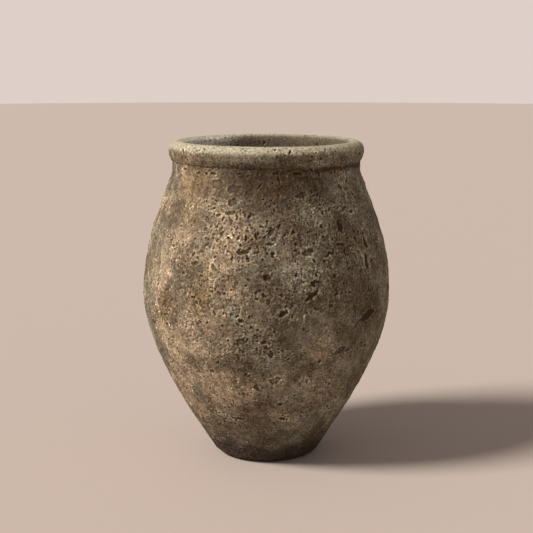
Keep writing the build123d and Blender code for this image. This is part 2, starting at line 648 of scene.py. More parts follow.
    def __init__(self, skin: Skin, columns: int, seed: int) -> None:
        """Builds the grid.

        Args:
            skin: The jar's skin.
            columns: How many steps the grid has round the axis.
            seed: Fixes the noise and the pits.
        """
        self.skin = skin
        self.columns = columns
        self.rows = round(skin.length / self.ROW) + 1
        self.random = np.random.default_rng(seed)
        self.noise = GrainNoise(seed)
        self.arc = np.linspace(0, skin.length, self.rows)
        self.angle = np.arange(columns) * 2 * math.pi / columns
        ring = skin.point(self.arc)
        self.radius, self.height = ring[:, 0], ring[:, 1]
        self.points = self._grid_points()
        self.inside = smooth_step(3 * MM, 13 * MM, self.arc - skin.crown_arc)
        self.strength = self._strength()
        self.rough = self._roughness()
        self.wobble = self.noise.layered(self.points, 3.6 * MM, 2, 0.7)
        shape = (self.rows, columns)
        self.bowl = np.zeros(shape, np.float32)
        self.lip = np.zeros(shape, np.float32)
        self.flat = np.zeros(shape, np.float32)
        for scar in self.SCARS:
            self._scar(scar)
        for kind in (self.SPALL, self.GOUGE, self.NECK_SLOT, self.RIM_SLOT, self.CRATER, self.PORE):
            self._scatter(kind)
        for sponge in self.SPONGES:
            self._burst(sponge)
        self.fields = self._finish()

    def _grid_points(self) -> np.ndarray:
        """Finds every grid point's place on the smooth skin.

        Returns:
            The places, in metres.
        """
        turn = self.angle[None, :]
        radius = self.radius[:, None]
        height = np.broadcast_to(self.height[:, None], (self.rows, self.columns))
        return np.stack([radius * np.cos(turn), radius * np.sin(turn), height], axis=-1).astype(np.float32)

    def _strength(self) -> np.ndarray:
        """Says how much of the crust each row carries: all of it outside, less on the crown and the foot,
        and only a little inside.

        Returns:
            The share, 0 to 1, for each row.
        """
        past_crown = self.arc - self.skin.crown_arc
        crown = np.exp(-((past_crown / self.CROWN_WIDTH) ** 2))
        under = 1 - smooth_step(0.0, self.UNDER_WIDTH, self.arc)
        deep = smooth_step(self.DEEP_FROM, self.DEEP_FULL, past_crown)
        strength = 1 - self.CROWN_LOSS * crown - self.INSIDE_LOSS * self.inside - self.UNDER_LOSS * under
        return (strength * (1 - deep) + self.DEEP_SHARE * deep)[:, None]

    def _roughness(self) -> np.ndarray:
        """Says how cratered each place is, by chance and by the zones.

        Returns:
            The roughness of the whole grid, from 0 to 1.
        """
        x, z = self.points[..., 0], self.points[..., 2]
        rough = 0.40 + 1.05 * self.noise.layered(self.points + 3.1, 40 * MM, 4, 0.75)
        rough += 0.18 * smooth_step(0.10, 0.26, z) - 0.10 * smooth_step(0.42, 0.46, z)
        rough -= 0.06 * x / self.skin.shape.belly_radius
        for zone in self.ZONES:
            gap = np.linalg.norm(self.points - np.array(zone.centre(self.skin), np.float32), axis=-1)
            rough += zone.strength * np.exp(-((gap / zone.reach) ** 2))
        return np.clip(rough, 0, 1) * self.strength

    def _scatter(self, kind: PitKind) -> None:
        """Presses pits of one kind into the crust, more of them where it is rough.

        Args:
            kind: The kind of pit.
        """
        low, high = kind.heights
        area = self.radius * (1.0 - 0.93 * (self.arc > self.skin.crown_arc + 90 * MM))
        area = area * ((self.height >= low) & (self.height <= high))
        chance = np.cumsum(area) / area.sum()
        rows = np.searchsorted(chance, self.random.random(kind.count))
        columns = self.random.random(kind.count) * self.columns
        size, deep, long, keep = self.random.random((4, kind.count))
        turns = np.radians(self.random.uniform(-kind.tilt, kind.tilt, kind.count))
        for k in range(kind.count):
            rough = self.rough[rows[k], int(columns[k]) % self.columns]
            if kind.only_rough and keep[k] > 0.22 + 0.8 * rough:
                continue
            fade = 0.6 + 0.4 * min(1.0, rough * 1.6)
            radius = kind.radius[0] + (kind.radius[1] - kind.radius[0]) * size[k] ** 2
            depth = (kind.depth[0] + (kind.depth[1] - kind.depth[0]) * deep[k]) * fade
            stretch = 1 + (kind.longest - 1) * long[k] ** 2
            self._press(kind, rows[k], columns[k], radius, depth, stretch, turns[k])

    def _scar(self, scar: Scar) -> None:
        """Presses one large hollow.

        Args:
            scar: The hollow.
        """
        kind = self.SPALL if scar.bald else self.GOUGE
        row = round(self.skin.at_height(scar.height, Wall.OUTER) / self.ROW)
        column = (scar.azimuth - 90) % 360 / 360 * self.columns
        radius = scar.radius * self.SCAR_SCALE
        self._press(kind, row, column, radius, scar.depth, scar.stretch, math.radians(scar.tilt))

    def _press(self, kind: PitKind, row: int, column: float, radius: float, depth: float,
               stretch: float, tilt: float) -> None:
        """Presses one pit into the crust.

        Args:
            kind: The kind of pit.
            row: Grid row of its centre.
            column: Grid column of its centre.
            radius: Half its width.
            depth: How deep it is.
            stretch: Its length beside its width.
            tilt: Which way it is long, in radians.
        """
        column_gap = max(self.radius[row], 0.01) * 2 * math.pi / self.columns
        reach = radius * stretch * self.PIT_REACH
        down, across = math.ceil(reach / self.ROW), math.ceil(reach / column_gap)
        near_rows = np.arange(max(0, row - down), min(self.rows, row + down + 1))
        near_columns = np.arange(math.floor(column) - across, math.floor(column) + across + 2)
        cells = np.ix_(near_rows, near_columns % self.columns)
        v = (near_rows - row)[:, None] * self.ROW
        u = (near_columns - column)[None, :] * column_gap
        along = (u * math.cos(tilt) + v * math.sin(tilt)) / (radius * stretch)
        beside = (v * math.cos(tilt) - u * math.sin(tilt)) / radius
        distance = np.sqrt(along**2 + beside**2) + self.EDGE_WOBBLE * self.wobble[cells]
        bowl = -depth * smooth_step(0, kind.wall_share, 1 - distance)
        ring = kind.lip * np.exp(-(((distance - 1.2) / 0.25) ** 2))
        self.bowl[cells] = np.minimum(self.bowl[cells], bowl)
        self.lip[cells] = np.maximum(self.lip[cells], ring)
        if kind is self.SPALL:
            self.flat[cells] = np.maximum(self.flat[cells], smooth_step(0, 0.3, 1 - distance))

    def _burst(self, sponge: Sponge) -> None:
        """Opens the holes of burst bubbles, larger and closer together where the crust is rough.

        Args:
            sponge: The bubbles.
        """
        level = self.noise.layered(self.points + sponge.shift, sponge.apart, 2, 0.6)
        edge = -0.66 + 0.38 * self.rough
        hole = smooth_step(0.0, 0.15, edge - level) * (1 - self.FLAKED_LOSS * self.flat)
        self.bowl = np.minimum(self.bowl, -sponge.depth * hole)
        ring = np.exp(-(((level - edge - 0.12) / 0.10) ** 2))
        self.lip = np.maximum(self.lip, sponge.lip * ring * self.rough)

    def _spread(self, values: np.ndarray, reach: int) -> np.ndarray:
        """Averages each value with those around it.

        Args:
            values: The grid's values.
            reach: How many cells each way.

        Returns:
            The averages.
        """
        for axis in (0, 1):
            values = sum(np.roll(values, k, axis) for k in range(-reach, reach + 1)) / (2 * reach + 1)
        return values

    def _finish(self) -> dict[str, np.ndarray]:
        """Adds up the lumps, the raised crust, the pits and the inside's finger rings, and works out what
        the finishes read.

        Returns:
            The grid's fields by name: height in metres, and relief, pit and rough without a unit.
        """
        strength = self.strength
        lumps = self.LUMPS.over(self.noise, self.points)
        rings = np.sin(self.height * 2 * math.pi / self.FINGER_RINGS) * self.RING_HEIGHT * self.inside
        pits = self.bowl * np.minimum(1, strength * 1.3)
        height = lumps * (0.35 + 0.65 * strength) + self._raised() * strength + pits + rings[:, None]
        relief = np.clip((height - self._spread(height, 3)) / self.FULL_RELIEF, -1, 1)
        foot_flat = smooth_step(self.skin.shape.foot_edge_bend * 0.1, 3 * MM, self.height)[:, None]
        height = np.where(self.arc[:, None] < self.FOOT_END, height * foot_flat, height) - self.SETTLE
        pit = np.clip(-self.bowl / self.FULL_PIT, 0, 1) * (1 - 0.7 * self.flat)
        fields = {"height": height, "relief": relief, "pit": pit, "rough": self.rough}
        return {name: values.astype(np.float32) for name, values in fields.items()}

    def _raised(self) -> np.ndarray:
        """Adds up what stands proud of the wall: knobs, scabs, wrinkles, seams, grain and the pits' lips.

        Returns:
            The whole grid's heights, in metres.
        """
        noise, points, rough = self.noise, self.points, self.rough
        smooth = 1 - self.FLAKED_LOSS * self.flat
        warped = points + noise.at(points / self.WARP_SIZE + 8.0)[..., None] * self.WARP
        scabs = smooth_step(-0.05, 0.07, self.SCABS.over(noise, points)) * self.SCAB_HEIGHT
        seams = self.SEAMS.over(noise, warped)
        seams = seams * smooth_step(-0.05, 0.15, self.SEAM_AREAS.over(noise, points))
        crust = self.KNOBS.over(noise, points) * (0.35 + 0.65 * rough)
        crust += (scabs + self.WRINKLES.over(noise, warped) + seams) * rough * smooth
        return crust + (self.GRAIN.over(noise, points) * (0.40 + 0.60 * rough) + self.lip) * smooth

    def read(self, name: str, arc: np.ndarray, angle: np.ndarray) -> np.ndarray:
        """Reads one field between the grid's points.

        Args:
            name: The field's name.
            arc: Distances along the skin.
            angle: Angles round the axis, in radians.

        Returns:
            The field's values.
        """
        values = self.fields[name]
        row = np.clip(arc / self.skin.length * (self.rows - 1), 0, self.rows - 1.001)
        column = np.mod(angle, 2 * math.pi) / (2 * math.pi) * self.columns
        low_row, low_column = np.floor(row).astype(int), np.floor(column).astype(int)
        down, across = row - low_row, column - low_column
        left, right = low_column % self.columns, (low_column + 1) % self.columns
        top = values[low_row, left] * (1 - across) + values[low_row, right] * across
        bottom = values[low_row + 1, left] * (1 - across) + values[low_row + 1, right] * across
        return top * (1 - down) + bottom * down


# ---------------------------------------------------------------------------------------------------------
# Finishes
# ---------------------------------------------------------------------------------------------------------


Socket = bpy.types.NodeSocket
Colour = tuple[float, float, float]


class Bench:
    """Lays out a material's nodes and links them."""

    def __init__(self, name: str) -> None:
        """Makes an empty material.

        Args:
            name: The material's name.
        """
        self.material = bpy.data.materials.new(name)
        self.material.use_nodes = True
        self.tree = self.material.node_tree
        self.tree.nodes.clear()
        self.output = self.tree.nodes.new("ShaderNodeOutputMaterial")
        self.shader = self.tree.nodes.new("ShaderNodeBsdfPrincipled")
        self.tree.links.new(self.shader.outputs["BSDF"], self.output.inputs["Surface"])
        self.place = self.tree.nodes.new("ShaderNodeTexCoord").outputs["Object"]

    def plug(self, socket: Socket, value: object) -> None:
        """Links a socket to another, or sets it to a plain value.

        Args:
            socket: The input socket.
            value: The socket to link, or the value.
        """
        if isinstance(value, Socket):
            self.tree.links.new(value, socket)
        else:
            socket.default_value = value

    def attribute(self, name: str) -> Socket:
        """Reads one of the mesh's own attributes.

        Args:
            name: The attribute's name.

        Returns:
            The attribute's value.
        """
        node = self.tree.nodes.new("ShaderNodeAttribute")
        node.attribute_name = name
        return node.outputs["Fac"]

    def noise(self, size: float, detail: float = 3.0, rough: float = 0.5, shift: float = 0.0,
              distortion: float = 0.0, stretch: tuple = (1.0, 1.0, 1.0), lean: float = 0.0) -> Socket:
        """Makes noise, 0 to 1.

        Args:
            size: How big its largest blobs are, in metres.
            detail: How many finer layers it has.
            rough: How strong the finer layers are.
            shift: Moves the noise, so that two of one size differ.
            distortion: How much it swirls.
            stretch: How much narrower its blobs are along each axis.
            lean: How far its blobs lean from level, in degrees.

        Returns:
            The noise's value.
        """
        mapping = self.tree.nodes.new("ShaderNodeMapping")
        mapping.inputs["Location"].default_value = (shift, shift * 0.7, -shift)
        mapping.inputs["Rotation"].default_value = (0.0, math.radians(lean), 0.0)
        mapping.inputs["Scale"].default_value = stretch
        self.plug(mapping.inputs["Vector"], self.place)
        node = self.tree.nodes.new("ShaderNodeTexNoise")
        node.inputs["Scale"].default_value = 1.0 / size
        node.inputs["Detail"].default_value = detail
        node.inputs["Roughness"].default_value = rough
        node.inputs["Distortion"].default_value = distortion
        self.plug(node.inputs["Vector"], mapping.outputs["Vector"])
        return node.outputs["Fac"]

    def cells(self, size: float, shift: float = 0.0) -> Socket:
        """Gives the distance to the nearest of many scattered points, 0 at a point and about 1 between.

        Args:
            size: How far apart the points are, in metres.
            shift: Moves the points.

        Returns:
            The distance's value.
        """
        mapping = self.tree.nodes.new("ShaderNodeMapping")
        mapping.inputs["Location"].default_value = (shift, -shift, shift * 0.3)
        self.plug(mapping.inputs["Vector"], self.place)
        node = self.tree.nodes.new("ShaderNodeTexVoronoi")
        node.inputs["Scale"].default_value = 1.0 / size
        self.plug(node.inputs["Vector"], mapping.outputs["Vector"])
        return node.outputs["Distance"]

    def sum(self, operation: str, first: Socket | float, second: Socket | float = 0.0) -> Socket:
        """Works out one sum.

        Args:
            operation: The Math node's operation.
            first: A socket or a number.
            second: A socket or a number.

        Returns:
            The answer's socket.
        """
        node = self.tree.nodes.new("ShaderNodeMath")
        node.operation = operation
        self.plug(node.inputs[0], first)
        self.plug(node.inputs[1], second)
        return node.outputs[0]

    def span(self, value: Socket, low: float, high: float, to_low: float = 0.0, to_high: float = 1.0
             ) -> Socket:
        """Maps a value's range, low to high, smoothly onto another.

        Args:
            value: The socket to map.
            low: Where the range starts.
            high: Where it ends.
            to_low: What low becomes.
            to_high: What high becomes.

        Returns:
            The mapped value's socket.
        """
        node = self.tree.nodes.new("ShaderNodeMapRange")
        node.interpolation_type = "SMOOTHSTEP"
        for name, number in zip(("From Min", "From Max", "To Min", "To Max"), (low, high, to_low, to_high)):
            node.inputs[name].default_value = number
        self.plug(node.inputs["Value"], value)
        return node.outputs["Result"]

    def axes(self) -> list:
        """Splits the place into its X, Y and Z.

        Returns:
            The three sockets.
        """
        node = self.tree.nodes.new("ShaderNodeSeparateXYZ")
        self.plug(node.inputs[0], self.place)
        return list(node.outputs)

    def blend(self, share: Socket | float, first: Socket | Colour, second: Socket | Colour) -> Socket:
        """Mixes two colours.

        Args:
            share: How much of the second shows, as a socket or a number.
            first: A colour or a colour socket.
            second: A colour or a colour socket.

        Returns:
            The mixed colour's socket.
        """
        node = self.tree.nodes.new("ShaderNodeMix")
        node.data_type = "RGBA"
        self.plug(node.inputs["Factor"], share)
        for socket, value in ((node.inputs[6], first), (node.inputs[7], second)):
            self.plug(socket, (*value, 1.0) if isinstance(value, tuple) else value)
        return node.outputs[2]

    def spot(self, centre: Vector, reach: float, strength: float) -> Socket:
        """Marks a ragged round patch.

        Args:
            centre: Its middle, in metres.
            reach: About how far it goes.
            strength: What it is at the middle; it is 0 outside.

        Returns:
            The patch's share.
        """
        far = self.tree.nodes.new("ShaderNodeVectorMath")
        far.operation = "DISTANCE"
        self.plug(far.inputs[0], self.place)
        far.inputs[1].default_value = centre
        ragged = self.noise(reach * 0.7, 5.0, 0.65, shift=centre.x * 40)
        gap = self.sum("ADD", far.outputs["Value"], self.sum("MULTIPLY", ragged, reach * 1.3))
        return self.span(gap, reach * 0.75, reach * 1.65, strength, 0.0)

    def tone(self, amount: Socket | float, colour: Socket) -> Socket:
        """Multiplies a colour by a brightness.

        Args:
            amount: The brightness, as a socket or a number.
            colour: The colour socket.

        Returns:
            The toned colour's socket.
        """
        node = self.tree.nodes.new("ShaderNodeVectorMath")
        node.operation = "SCALE"
        self.plug(node.inputs[0], colour)
        self.plug(node.inputs["Scale"], amount)
        return node.outputs[0]


class Tint(Enum):
    """The clay colours that a patch can have, by the finish's field."""

    UMBER = "umber"
    TAN = "tan"
    OCHRE = "ochre"
    SAGE = "sage"
    SOOT_AND_SHADE = "soot_and_shade"


@dataclass(frozen=True)
class Patch:
    """A patch of one colour on the jar's face."""

    tint: Tint
    zone: Zone


@dataclass(frozen=True)
class ClayFinish:
    """Fired clay with a volcanic crust. Colours are linear, and heights and places are in metres.

    Umber, tan, ochre, sage and soot lie in patches, with earth in the darker clouds; below the rim the soot
    is partly painted shadow. Wear is the pale rubbed layer on the rim's crown, partly a painted highlight,
    and damp is the stain round the foot. The inside is painted pale on the left as painted light and is
    mauve on the right. The left side is painted lighter and warmer as if lit, and the hollows are painted
    lighter there and near-black with dirt and painted shade on the right.
    """

    name: str
    slot: str
    skin: Skin
    umber: Colour = (0.113, 0.086, 0.055)
    tan: Colour = (0.284, 0.211, 0.136)
    ochre: Colour = (0.148, 0.098, 0.048)
    sage: Colour = (0.154, 0.136, 0.095)
    soot_and_shade: Colour = (0.037, 0.022, 0.010)
    earth: Colour = (0.092, 0.062, 0.033)
    wear_and_highlight: Colour = (0.395, 0.348, 0.245)
    damp: Colour = (0.026, 0.0165, 0.0145)
    lit_lining: Colour = (0.720, 0.650, 0.550)
    mauve: Colour = (0.105, 0.077, 0.050)
    lit_hollow: Colour = (0.088, 0.053, 0.024)
    # Where the painted light of the left side fades out, across the jar in metres.
    lit_side_edge: tuple = (-0.21, -0.03)
    # Painted shade in the crease under the rim: its height and how far it reaches.
    crease_shade_height: float = 0.4615
    crease_shade_reach: tuple = (0.0060, 0.0010)
    worn_above: tuple = (0.4815, 0.4905)
    dull_below: tuple = (0.025, 0.095)
    damp_edge: tuple = (0.002, -0.016)
    grain_height: float = 0.9 * MM
    lit_lining_edge: tuple = (-0.10, -0.03)
    patches: tuple = (
        # Neck and rim
        Patch(Tint.OCHRE, Zone(-50, 0.434, 0.045, 0.75)),
        Patch(Tint.OCHRE, Zone(-36, 0.436, 0.050, 0.75)),
        Patch(Tint.OCHRE, Zone(-40, 0.385, 0.050, 0.60)),
        Patch(Tint.UMBER, Zone(-21, 0.430, 0.055, 0.85)),
        Patch(Tint.UMBER, Zone(4, 0.415, 0.065, 0.80)),
        # Soot under the rim, partly dark clay and partly painted shadow of the rim.
        Patch(Tint.SOOT_AND_SHADE, Zone(-13, 0.440, 0.048, 0.75)),
        Patch(Tint.SOOT_AND_SHADE, Zone(4, 0.434, 0.060, 0.95)),
        Patch(Tint.SOOT_AND_SHADE, Zone(12, 0.441, 0.042, 0.90)),
        Patch(Tint.SOOT_AND_SHADE, Zone(-5, 0.440, 0.034, 0.80)),
        Patch(Tint.SOOT_AND_SHADE, Zone(28, 0.436, 0.045, 0.75)),
        Patch(Tint.SAGE, Zone(20, 0.470, 0.026, 0.75)),
        Patch(Tint.SAGE, Zone(33, 0.470, 0.032, 0.85)),
        Patch(Tint.SAGE, Zone(50, 0.472, 0.034, 0.80)),
        # Left side
        Patch(Tint.UMBER, Zone(-44, 0.262, 0.046, 0.60)),
        Patch(Tint.OCHRE, Zone(-50, 0.258, 0.040, 0.80)),
        Patch(Tint.OCHRE, Zone(-30, 0.272, 0.036, 0.80)),
        Patch(Tint.UMBER, Zone(-34, 0.322, 0.026, 0.85)),
        Patch(Tint.OCHRE, Zone(-28, 0.315, 0.016, 0.80)),
        Patch(Tint.UMBER, Zone(-11, 0.276, 0.022, 0.60)),
        Patch(Tint.TAN, Zone(-42, 0.345, 0.045, 0.70)),
        Patch(Tint.TAN, Zone(-57, 0.322, 0.045, 0.80)),
        Patch(Tint.TAN, Zone(-24, 0.308, 0.026, 0.60)),
        Patch(Tint.TAN, Zone(-19, 0.326, 0.028, 0.80)),
        Patch(Tint.TAN, Zone(-15, 0.374, 0.034, 0.60)),
        Patch(Tint.TAN, Zone(-14, 0.291, 0.022, 0.90)),
        Patch(Tint.TAN, Zone(-27, 0.240, 0.032, 0.70)),
        Patch(Tint.TAN, Zone(-38, 0.215, 0.045, 0.85)),
        Patch(Tint.TAN, Zone(-48, 0.166, 0.060, 0.68)),
        Patch(Tint.TAN, Zone(-22, 0.145, 0.055, 0.60)),
        Patch(Tint.TAN, Zone(-24, 0.126, 0.030, 0.40)),
        Patch(Tint.SAGE, Zone(-70, 0.345, 0.055, 0.75)),
        Patch(Tint.SAGE, Zone(-68, 0.266, 0.042, 0.80)),
        Patch(Tint.SAGE, Zone(-70, 0.200, 0.050, 0.65)),
        # Middle
        Patch(Tint.UMBER, Zone(-13, 0.182, 0.036, 0.75)),
        Patch(Tint.UMBER, Zone(2, 0.270, 0.055, 0.90)),
        Patch(Tint.SOOT_AND_SHADE, Zone(-1, 0.299, 0.034, 0.40)),
        Patch(Tint.SOOT_AND_SHADE, Zone(4, 0.234, 0.027, 0.40)),
        Patch(Tint.SAGE, Zone(11, 0.338, 0.036, 0.60)),
        Patch(Tint.SAGE, Zone(22, 0.226, 0.045, 0.80)),
        Patch(Tint.SAGE, Zone(16, 0.150, 0.075, 0.75)),
        Patch(Tint.SAGE, Zone(42, 0.140, 0.080, 0.75)),
        Patch(Tint.TAN, Zone(11, 0.340, 0.028, 0.30)),
        Patch(Tint.TAN, Zone(26, 0.207, 0.038, 0.30)),
        Patch(Tint.TAN, Zone(6, 0.150, 0.050, 0.20)),
        Patch(Tint.TAN, Zone(32, 0.150, 0.065, 0.30)),
        # Right side
        Patch(Tint.UMBER, Zone(46, 0.280, 0.045, 0.75)),
        Patch(Tint.UMBER, Zone(40, 0.298, 0.036, 0.70)),
        Patch(Tint.UMBER, Zone(42, 0.335, 0.030, 0.60)),
        Patch(Tint.UMBER, Zone(50, 0.212, 0.055, 0.65)),
        Patch(Tint.SOOT_AND_SHADE, Zone(50, 0.242, 0.060, 0.45)),
        Patch(Tint.SOOT_AND_SHADE, Zone(54, 0.247, 0.032, 0.50)),
        Patch(Tint.SAGE, Zone(60, 0.385, 0.050, 0.70)),
        Patch(Tint.SAGE, Zone(52, 0.185, 0.055, 0.55)),
        # Above the foot
        Patch(Tint.UMBER, Zone(-36, 0.090, 0.035, 0.60)),
        Patch(Tint.UMBER, Zone(-34, 0.058, 0.036, 0.60)),
        Patch(Tint.SAGE, Zone(-2, 0.068, 0.045, 0.65)),
        Patch(Tint.SAGE, Zone(26, 0.072, 0.055, 0.75)),
        Patch(Tint.TAN, Zone(9, 0.093, 0.034, 0.40)),
    )

    def make(self) -> bpy.types.Material:
        """Builds the material.

        Returns:
            The finished material.
        """
        bench = Bench(self.name)
        x, _, z = bench.axes()
        relief, pit, rough, inside = (bench.attribute(name) for name in ("relief", "pit", "rough", "inside"))
        drift = bench.noise(0.11, 4.0, 0.6, shift=2.0, distortion=0.6)
        # Painted light: the share of the left side that is laid lighter and warmer as if lit.
        lit_side = self._lit_side(bench, x, drift)
        colour = self._ground(bench, drift, lit_side)
        colour = self._crease_shade(bench, colour, x, z)
        colour = self._wear_and_highlight(bench, colour, x, z)
        # Painted light: the lining is laid pale on the left and mauve on the right.
        lining = bench.blend(bench.span(x, *self.lit_lining_edge), self.lit_lining, self.mauve)
        colour = bench.blend(inside, colour, lining)
        colour = self._stain(bench, colour, z)
        colour = self._grit(bench, colour, relief, rough)
        colour = self._relief(bench, colour, relief, pit, lit_side)
        bench.plug(bench.shader.inputs["Base Color"], colour)
        self._surface(bench)
        return bench.material

    def _lit_side(self, bench: Bench, x: Socket, drift: Socket) -> Socket:
        """Marks the left side, which is painted lighter and warmer as if lit, with a ragged edge.

        Args:
            bench: The material's bench.
            x: The place from left to right.
            drift: The noise that makes the edge ragged.

        Returns:
            The share, 1 on the left and 0 on the right.
        """
        ragged = bench.sum("ADD", x, bench.sum("MULTIPLY", drift, -0.10))
        return bench.span(ragged, *self.lit_side_edge, 1.0, 0.0)

    def _ground(self, bench: Bench, drift: Socket, lit_side: Socket) -> Socket:
        """Lays the fired clay's patches of umber, tan, ochre and sage, and its clouds and specks.

        Args:
            bench: The material's bench.
            drift: Broad noise.
            lit_side: How far the place is on the left, where the clay is painted as if lit.

        Returns:
            The clay's colour.
        """
        mix = bench.noise(0.045, 5.0, 0.65, shift=7.0, distortion=0.8)
        speck = bench.noise(0.010, 4.0, 0.75, shift=4.0)
        warm = bench.blend(bench.span(mix, 0.44, 0.57), self.tan, self.umber)
        warm = bench.blend(bench.span(drift, 0.54, 0.70, 0.0, 0.6), warm, self.ochre)
        cool = bench.blend(bench.span(mix, 0.40, 0.55), self.umber, self.sage)
        # Painted light: warm, light clay on the lit left and cool, dark clay on the shaded right.
        colour = bench.blend(lit_side, cool, warm)
        colour = bench.blend(bench.span(drift, 0.50, 0.28, 0.0, 0.6), colour, self.sage)
        for patch in self.patches:
            share = bench.spot(patch.zone.centre(self.skin), patch.zone.reach, patch.zone.strength)
            colour = bench.blend(share, colour, getattr(self, patch.tint.value))
        cloud = bench.noise(0.034, 4.0, 0.6, shift=23.0, distortion=0.5)
        colour = bench.blend(bench.span(cloud, 0.50, 0.36, 0.0, 0.60), colour, self.earth)
        colour = bench.tone(bench.span(cloud, 0.46, 0.64, 1.0, 1.34), colour)
        return bench.tone(bench.span(speck, 0.34, 0.66, 0.68, 1.36), colour)

    def _crease_shade(self, bench: Bench, colour: Socket, x: Socket, z: Socket) -> Socket:
        """Paints shade in the soot colour into the crease under the rolled rim, most on the shaded right.

        Args:
            bench: The material's bench.
            colour: The colour so far.
            x: The place from left to right.
            z: The height.

        Returns:
            The colour with the painted shade.
        """
        ragged = bench.noise(0.020, 5.0, 0.7, shift=19.0)
        level = bench.sum("ADD", z, bench.sum("MULTIPLY", ragged, 0.012))
        gap = bench.sum("ABSOLUTE", bench.sum("SUBTRACT", level, self.crease_shade_height))
        to_right = bench.span(x, -0.02, 0.09, 0.20, 0.90)
        share = bench.sum("MULTIPLY", bench.span(gap, *self.crease_shade_reach), to_right)
        # Painted shade: the crease under the rim is darkened, most on the right where the light does not
        # reach.
        return bench.blend(share, colour, self.soot_and_shade)

    def _wear_and_highlight(self, bench: Bench, colour: Socket, x: Socket, z: Socket) -> Socket:
        """Rubs the rim's crown pale, partly as a painted highlight, and less on the shaded right.

        Args:
            bench: The material's bench.
            colour: The colour so far.
            x: The place from left to right.
            z: The height.

        Returns:
            The colour with the rubbed crown and its painted highlight.
        """
        ragged = bench.noise(0.012, 4.0, 0.7, shift=9.0)
        level = bench.sum("ADD", z, bench.sum("MULTIPLY", ragged, 0.012))
        rubbed = bench.span(level, *self.worn_above, 0.0, 0.95)
        # Less paling on the right, where the rim is in shade: painted shade.
        rubbed = bench.sum("MULTIPLY", rubbed, bench.span(x, 0.0, 0.15, 1.0, 0.85))
        return bench.blend(rubbed, colour, self.wear_and_highlight)

    def _grit(self, bench: Bench, colour: Socket, relief: Socket, rough: Socket) -> Socket:
        """Scatters fine dark pores and pale grit over the clay, thickly here and thinly there; the pale grit
        sits on raised spots as paler clay with painted glints.

        Args:
            bench: The material's bench.
            colour: The colour so far.
            relief: How far the place stands above or below those around it.
            rough: How cratered the place is.

        Returns:
            The colour with the pores, the pale grit and its painted glints.
        """
        grain = bench.noise(0.0030, 2.0, 0.8, shift=11.0)
        streak = bench.noise(0.0045, 3.0, 0.7, shift=15.0, stretch=(1.0, 1.0, 2.6), lean=14.0)
        both = bench.sum("ADD", bench.sum("MULTIPLY", grain, 0.55), bench.sum("MULTIPLY", streak, 0.45))
        strong = bench.tone(bench.span(both, 0.37, 0.63, 0.58, 1.45), colour)
        colour = bench.blend(bench.span(rough, 0.05, 0.6, 0.75, 1.0), colour, strong)
        gather = bench.noise(0.016, 3.0, 0.6, shift=13.0)
        pores = bench.span(bench.cells(0.0050, 3.0), 0.38, 0.18, 0.0, 0.85)
        pores = bench.sum("MULTIPLY", pores, bench.span(gather, 0.44, 0.56))
        colour = bench.blend(pores, colour, self.soot_and_shade)
        # Pale grit on raised spots: paler clay and painted glints.
        grains_and_glints = bench.span(bench.cells(0.0062, 8.0), 0.30, 0.14, 0.0, 0.75)
        grains_and_glints = bench.sum("MULTIPLY", grains_and_glints, bench.span(gather, 0.56, 0.44))
        grains_and_glints = bench.sum("MULTIPLY", grains_and_glints, bench.span(relief, -0.1, 0.3))
        return bench.blend(grains_and_glints, colour, bench.tone(2.6, colour))

    def _relief(self, bench: Bench, colour: Socket, relief: Socket, pit: Socket, lit_side: Socket) -> Socket:
        """Darkens the pits and hollows with dirt and painted shade, less on the lit left, and lightens what
        stands proud as paler clay with a painted highlight.

        Args:
            bench: The material's bench.
            colour: The colour so far.
            relief: How far the place stands above or below those around it.
            pit: How deep in a pit the place is.
            lit_side: How far the place is on the left, where the hollows are painted lighter as if lit.

        Returns:
            The colour with the relief.
        """
        # Hollows are painted lighter on the lit left and near-black on the shaded right.
        hollow = bench.blend(lit_side, self.soot_and_shade, self.lit_hollow)
        crumbs = bench.noise(0.0024, 3.0, 0.75, shift=1.0)
        crumbs = bench.span(crumbs, 0.35, 0.60, 0.3, 1.0)
        raised = bench.sum("MULTIPLY", bench.span(relief, 0.10, 0.80), crumbs)
        # What stands proud is lightened: paler clay and painted highlight.
        colour = bench.blend(bench.sum("MULTIPLY", raised, 0.85), colour, bench.tone(2.0, colour))
        # Low places and pits are darkened: dirt and painted shade.
        colour = bench.blend(bench.span(relief, -0.10, -0.90, 0.0, 0.75), colour, hollow)
        return bench.blend(bench.sum("MULTIPLY", pit, 0.80), colour, hollow)

    def _stain(self, bench: Bench, colour: Socket, z: Socket) -> Socket:
        """Dulls the clay towards the foot, and stains the foot dark with an uneven upper edge.

        Args:
            bench: The material's bench.
            colour: The colour so far.
            z: The height.

        Returns:
            The colour with the stain.
        """
        ragged = bench.noise(0.030, 6.0, 0.75, shift=5.0)
        level = bench.sum("ADD", z, bench.sum("MULTIPLY", ragged, -0.075))
        colour = bench.tone(bench.span(z, *self.dull_below, 0.62, 1.0), colour)
        share = bench.span(level, *self.damp_edge, 0.0, 0.93)
        mottle = bench.span(bench.noise(0.009, 4.0, 0.7, shift=21.0), 0.40, 0.62, 1.0, 0.72)
        return bench.blend(bench.sum("MULTIPLY", share, mottle), colour, self.damp)

    def _surface(self, bench: Bench) -> None:
        """Sets how matt the clay is, and gives it its fine grain.

        Args:
            bench: The material's bench.
        """
        dull = bench.noise(0.02, 3.0, 0.6, shift=6.0)
        bench.plug(bench.shader.inputs["Roughness"], bench.span(dull, 0.2, 0.8, 0.80, 0.97))
        bench.shader.inputs["Specular IOR Level"].default_value = 0.25
        fine = bench.sum("ADD", bench.noise(0.0018, 2.0, 0.7, shift=3.0), bench.noise(0.0040, 2.0, 0.7))
        bump = bench.tree.nodes.new("ShaderNodeBump")
        bump.inputs["Strength"].default_value = 0.6
        bump.inputs["Distance"].default_value = self.grain_height
        bench.plug(bump.inputs["Height"], fine)
        bench.plug(bench.shader.inputs["Normal"], bump.outputs["Normal"])


# ---------------------------------------------------------------------------------------------------------
# The jar's pieces
# ---------------------------------------------------------------------------------------------------------


